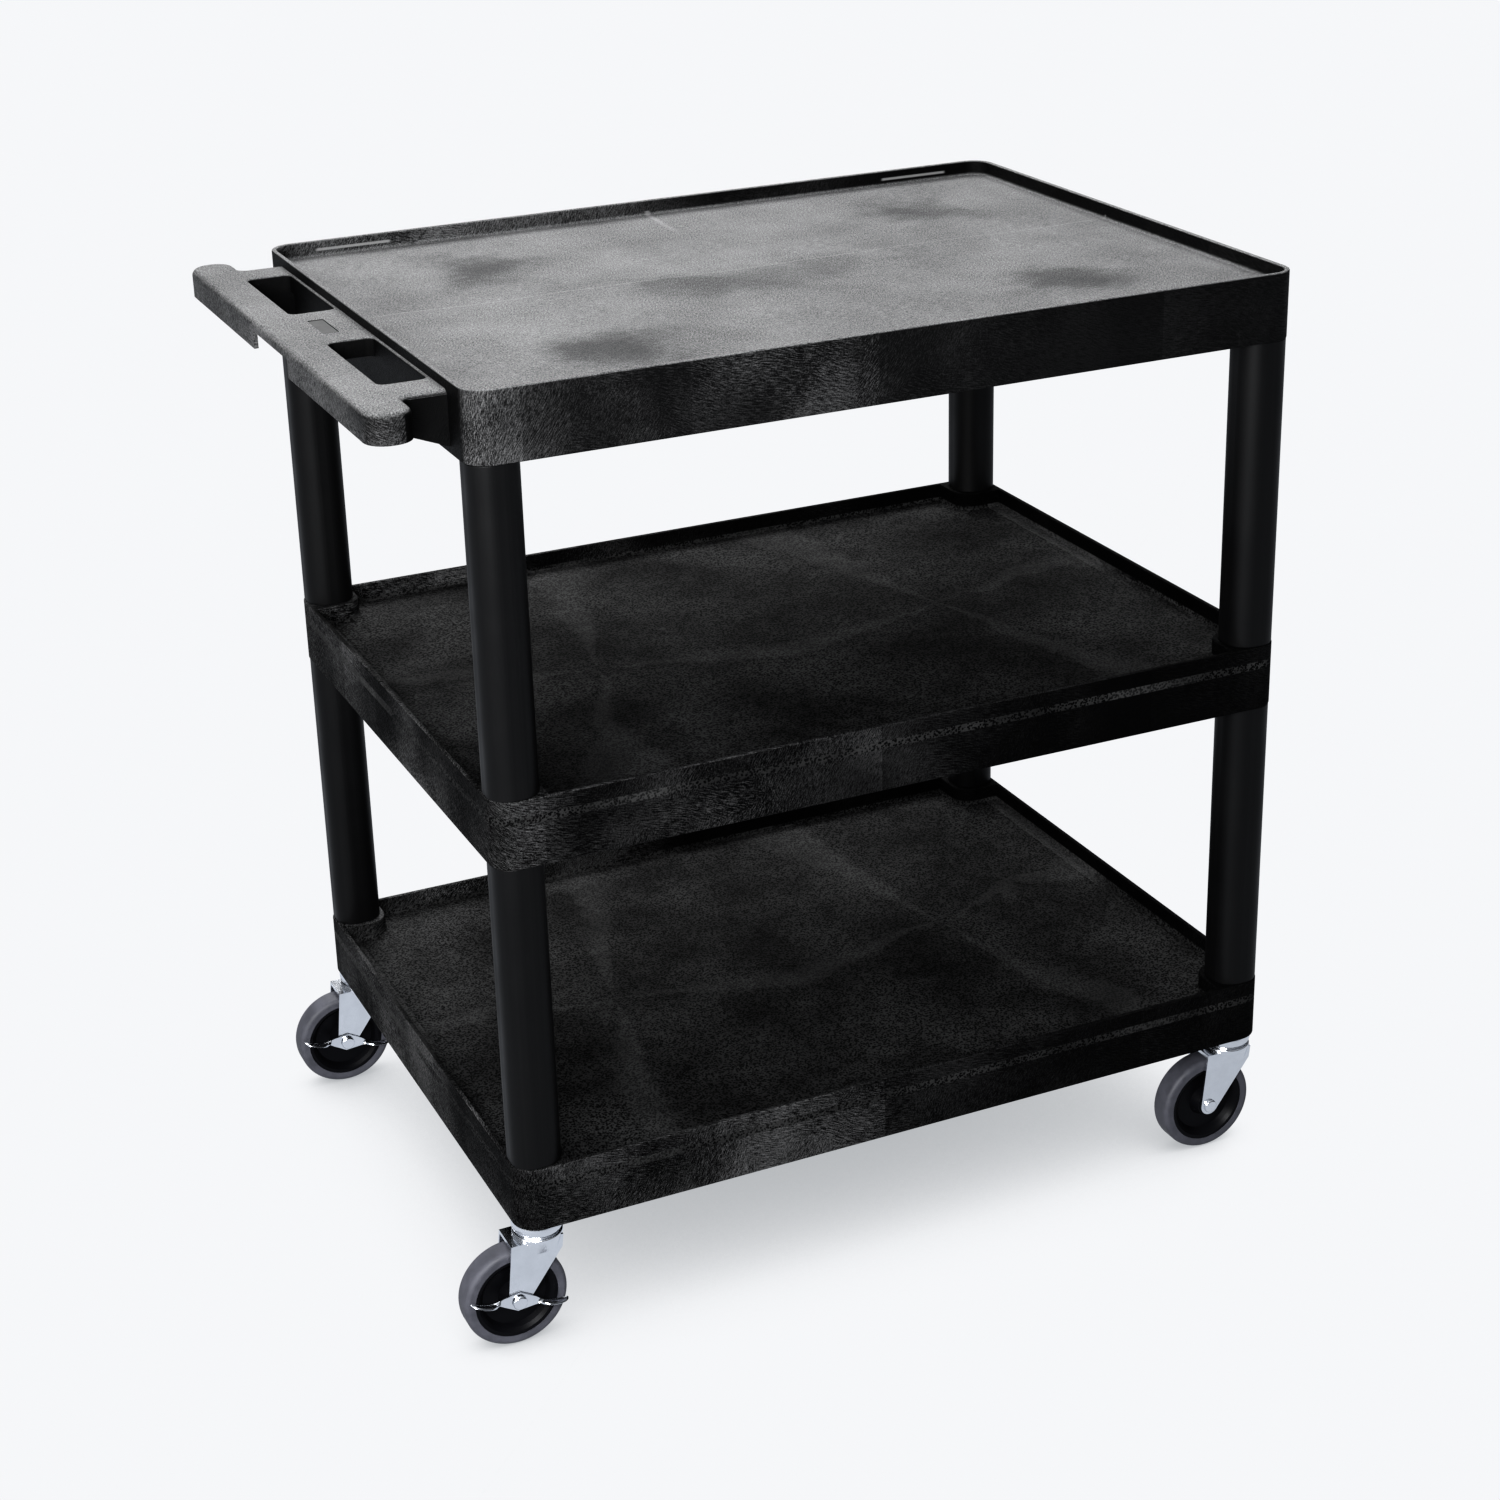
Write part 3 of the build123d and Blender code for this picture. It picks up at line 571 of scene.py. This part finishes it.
def makeCap(corner):
    # One bearing cap in place of its plain CAD solid: the section turned about the swivel axis.
    name = f"caster_cap_{corner}"
    low, high = (np.array(v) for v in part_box(name))
    section = capProfile(low[2], high[2])
    section = np.concatenate([section, section[:1]])
    angle = np.linspace(0.0, 2.0 * np.pi, capLook["turnSteps"])[None, :]
    radius, height = section[:, :1], section[:, 1:]
    middle = (low + high) / 2.0
    points = np.stack([
        middle[0] + radius * np.cos(angle), middle[1] + radius * np.sin(angle),
        height + 0.0 * angle], axis=-1).reshape(-1, 3)
    mesh = bpy.data.meshes.new(f"capRolled_{corner}")
    mesh.from_pydata(points.tolist(), [], gridFaces(len(section), capLook["turnSteps"]).tolist())
    weld = bmesh.new()
    weld.from_mesh(mesh)
    bmesh.ops.remove_doubles(weld, verts=weld.verts, dist=1e-6)
    bmesh.ops.recalc_face_normals(weld, faces=weld.faces)
    weld.to_mesh(mesh)
    weld.free()
    mesh.shade_smooth()
    mesh.set_sharp_from_angle(angle=math.radians(40.0))
    mesh.materials.append(materials["zinc"])
    cap = bpy.data.objects.new(f"capRolled_{corner}", mesh)
    bpy.context.scene.collection.objects.link(cap)
    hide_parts(name)
    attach(cap, "root")


for corner in cornerNames:
    makeCap(corner)
print("bearing caps ready")

studio = {
    "backdrop": (0.650, 0.655, 0.666),   # floor and backdrop as the camera sees them
    "shade": (0.35, 0.36, 0.372),        # floor in the deepest contact shadow
    "mirrored": ((0.54, 0.565, 0.605), (0.44, 0.46, 0.49)),  # as gloss mirrors it: handle end, far end
    "bounced": ((0.26, 0.26, 0.27), (0.03, 0.03, 0.031)),    # as it lights the cart, the same two ends
    "reach": 0.5,                        # how far the broad shadow reaches from what casts it
    "contact": 0.045,                    # the same for the dark line under the wheels
    "tilt": (0.55, -0.62, 0.56),         # towards the open sky: the shadow falls the other way
    "roomHigh": 0.45,                    # room light from high up
    "roomLow": 0.03,                     # room light from near the horizon
    "roomTint": (0.93, 0.96, 1.0),
    "floorHalf": 60.0,                   # half of the floor's width
}


def makeStudio():
    # A pale floor whose shadow deepens as the cart hides more of the sky above it, and the same
    # pale tone all round. The floor glows faintly for gloss and bounced light, so neither is noisy.
    material = bpy.data.materials.new("floorPale")
    material.use_nodes = True
    tree = material.node_tree
    tree.nodes.clear()
    hidden = put(tree, "ShaderNodeAmbientOcclusion", {"samples": 16}, Distance=studio["reach"],
                 Normal=studio["tilt"])
    contact = put(tree, "ShaderNodeAmbientOcclusion", {"samples": 8}, Distance=studio["contact"])
    nearWheels = fade(tree, contact.outputs["AO"], 0.2, 0.9, 0.55, 1.0)
    openSky = times(tree, fade(tree, hidden.outputs["AO"], 0.0, 0.68), nearWheels)
    floorTone = blendColour(tree, openSky, studio["shade"], studio["backdrop"])
    seen = put(tree, "ShaderNodeEmission", Color=floorTone)
    place = put(tree, "ShaderNodeTexCoord").outputs["Object"]
    along = put(tree, "ShaderNodeSeparateXYZ", Vector=place).outputs[0]
    farther = fade(tree, along, -1.1, 0.6)
    mirrored, bounced = (
        put(tree, "ShaderNodeEmission", Color=blendColour(tree, farther, *studio[key])).outputs[0]
        for key in ("mirrored", "bounced"))
    ray = put(tree, "ShaderNodeLightPath")
    unseen = put(tree, "ShaderNodeMixShader", n0=ray.outputs["Is Glossy Ray"], n1=bounced, n2=mirrored)
    both = put(tree, "ShaderNodeMixShader", n0=ray.outputs["Is Camera Ray"], n1=unseen.outputs[0],
               n2=seen.outputs[0])
    put(tree, "ShaderNodeOutputMaterial", Surface=both.outputs[0])
    material.cycles.emission_sampling = "NONE"
    half = studio["floorHalf"]
    mesh = bpy.data.meshes.new("floor")
    corners = [(-half, -half, 0), (half, -half, 0), (half, half, 0), (-half, half, 0)]
    mesh.from_pydata(corners, [], [(0, 1, 2, 3)])
    mesh.materials.append(material)
    floor = bpy.data.objects.new("floor", mesh)
    bpy.context.scene.collection.objects.link(floor)

    world = bpy.data.worlds.new("room")
    bpy.context.scene.world = world
    world.use_nodes = True
    tree = world.node_tree
    tree.nodes.clear()
    seen = put(tree, "ShaderNodeBackground", Color=(*studio["backdrop"], 1.0), Strength=1.0)
    direction = put(tree, "ShaderNodeTexCoord").outputs["Generated"]
    height = put(tree, "ShaderNodeSeparateXYZ", Vector=direction).outputs[2]
    strength = fade(tree, height, 0.25, 0.85, studio["roomLow"], studio["roomHigh"])
    lit = put(tree, "ShaderNodeBackground", Color=(*studio["roomTint"], 1.0), Strength=strength)
    ray = put(tree, "ShaderNodeLightPath")
    both = put(tree, "ShaderNodeMixShader", n0=ray.outputs["Is Camera Ray"], n1=lit.outputs[0],
               n2=seen.outputs[0])
    put(tree, "ShaderNodeOutputWorld", Surface=both.outputs[0])


softboxes = {
    # name: place, aim, width, height, watts, tint
    "backBox": ((0.9, 2.9, 3.6), (0.0, 0.0, 0.9), 3.6, 2.0, 150.0, (1.0, 1.0, 1.0)),
    "leftBox": ((-3.4, -1.6, 1.9), (-0.1, 0.0, 0.6), 2.2, 2.6, 60.0, (1.0, 0.99, 0.97)),
    "frontBox": ((-1.25, -2.0, 1.4), (-0.42, -0.3, 0.5), 0.9, 0.9, 56.0, (0.98, 0.99, 1.0)),
    "topBox": ((-0.3, 0.3, 3.6), (0.0, 0.0, 0.5), 3.0, 3.0, 45.0, (1.0, 1.0, 1.0)),
}


def makeLights():
    # Soft square lights, each turned to its aim and kept out of the camera's sight.
    for name, (place, aim, width, height, watts, tint) in softboxes.items():
        data = bpy.data.lights.new(name, "AREA")
        data.shape, data.size, data.size_y = "RECTANGLE", width, height
        data.energy, data.color = watts, tint
        lamp = bpy.data.objects.new(name, data)
        lamp.location = place
        lamp.rotation_euler = (Vector(place) - Vector(aim)).to_track_quat("Z", "Y").to_euler()
        lamp.visible_camera = False
        bpy.context.scene.collection.objects.link(lamp)


cameraSetup = {
    "place": (-1.0390, -2.3458, 1.5465),
    "azimuth": -24.14,                   # degrees round from the front
    "elevation": 21.935,
    "roll": -1.589,
    "lens": 65.73,
    "shift": (0.0015, -0.0547),
}


def makeCamera():
    # The camera's back axis is (sin a cos e, -cos a cos e, sin e); its right and up axes are
    # square to it and turned by the roll.
    a, e, r = (math.radians(cameraSetup[k]) for k in ("azimuth", "elevation", "roll"))
    back = np.array([math.sin(a) * math.cos(e), -math.cos(a) * math.cos(e), math.sin(e)])
    right = np.array([math.cos(a), math.sin(a), 0.0])
    up = np.cross(back, right)
    rolledRight = math.cos(r) * right + math.sin(r) * up
    rolledUp = -math.sin(r) * right + math.cos(r) * up
    axes = np.stack([rolledRight, rolledUp, back], axis=1)
    data = bpy.data.cameras.new("camera")
    data.lens, data.sensor_width = cameraSetup["lens"], 36.0
    data.shift_x, data.shift_y = cameraSetup["shift"]
    camera = bpy.data.objects.new("camera", data)
    camera.matrix_world = Matrix.Translation(cameraSetup["place"]) @ Matrix(axes.tolist()).to_4x4()
    bpy.context.scene.collection.objects.link(camera)
    bpy.context.scene.camera = camera


makeStudio()
makeLights()
makeCamera()
bpy.context.scene.view_settings.view_transform = "Standard"
bpy.context.scene.view_settings.look = "High Contrast"
print("studio ready")
